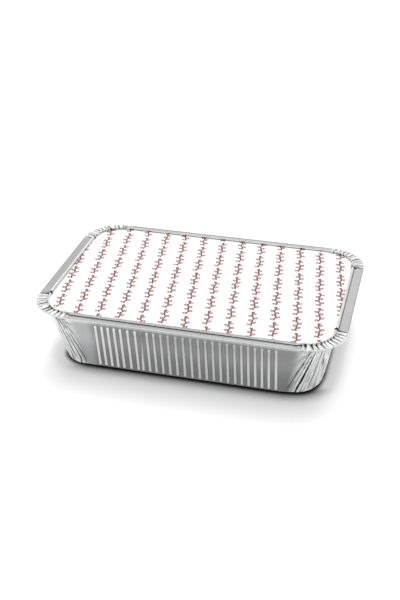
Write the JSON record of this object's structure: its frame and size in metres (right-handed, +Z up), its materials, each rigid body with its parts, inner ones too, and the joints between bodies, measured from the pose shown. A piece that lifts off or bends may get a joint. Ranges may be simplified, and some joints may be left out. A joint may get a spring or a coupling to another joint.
{
  "type": "foil food container",
  "caption": "Rectangular pressed foil tray with ribbed tapered walls, creased corners and a folded pleated rim that holds a flat board lid.",
  "frame": {"origin": "centre of the container's footprint, on the table it stands on", "axes": "+X along the long side, +Y towards the back long side, +Z up to the lid"},
  "size_m": [0.2151, 0.146, 0.0485],
  "materials": {
    "foil": "bright rolled foil, creased at the corners",
    "lid_board": "smooth white board with a sparse dark red print"
  },
  "bodies": {
    "root": {"foil_tray": "foil", "board_lid": "lid_board"}
  },
  "joints": []
}
